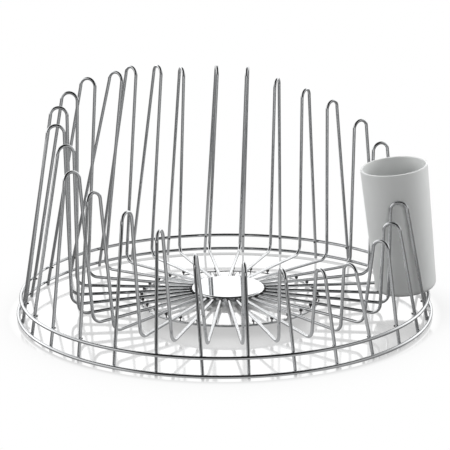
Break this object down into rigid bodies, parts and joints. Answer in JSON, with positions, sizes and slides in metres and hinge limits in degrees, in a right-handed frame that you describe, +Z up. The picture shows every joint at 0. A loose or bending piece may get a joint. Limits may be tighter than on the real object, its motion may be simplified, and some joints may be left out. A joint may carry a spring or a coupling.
{
  "type": "dish drying rack",
  "caption": "Round dish drying rack of bent steel wire fingers that rise towards the back, with two base hoops, a polished hub disc, a base dish and a lift-off cutlery cup.",
  "frame": {"origin": "on the floor, in the middle of the two hoops", "axes": "+Z up, -Y towards the low front fingers, +X towards the cutlery cup"},
  "size_m": [0.3864, 0.3832, 0.2087],
  "materials": {
    "steel_wire": "mirror-polished stainless steel wire",
    "steel_sheet": "mirror-polished stainless steel sheet",
    "cup_plastic": "matte light grey moulded plastic"
  },
  "bodies": {
    "basket": {"finger_01": "steel_wire", "finger_02": "steel_wire", "finger_03": "steel_wire", "finger_04": "steel_wire", "finger_05": "steel_wire", "finger_06": "steel_wire", "finger_07": "steel_wire", "finger_08": "steel_wire", "finger_09": "steel_wire", "finger_10": "steel_wire", "finger_11": "steel_wire", "finger_12": "steel_wire", "finger_13": "steel_wire", "finger_14": "steel_wire", "finger_15": "steel_wire", "finger_16": "steel_wire", "finger_17": "steel_wire", "finger_18": "steel_wire", "finger_19": "steel_wire", "finger_20": "steel_wire", "finger_21": "steel_wire", "finger_22": "steel_wire", "finger_23": "steel_wire", "finger_24": "steel_wire", "finger_25": "steel_wire", "finger_26": "steel_wire", "finger_27": "steel_wire", "finger_28": "steel_wire", "finger_29": "steel_wire", "finger_30": "steel_wire", "lower_hoop": "steel_wire", "upper_hoop": "steel_wire", "hub_disc": "steel_sheet", "base_dish": "steel_sheet"},
    "cup": {"cutlery_cup": "cup_plastic"}
  },
  "joints": [
    {"name": "cup_lift", "type": "slide", "parent": "basket", "child": "cup", "axis": [-0.119, -0.0456, 0.9918], "range_m": [0, 0.13]}
  ]
}
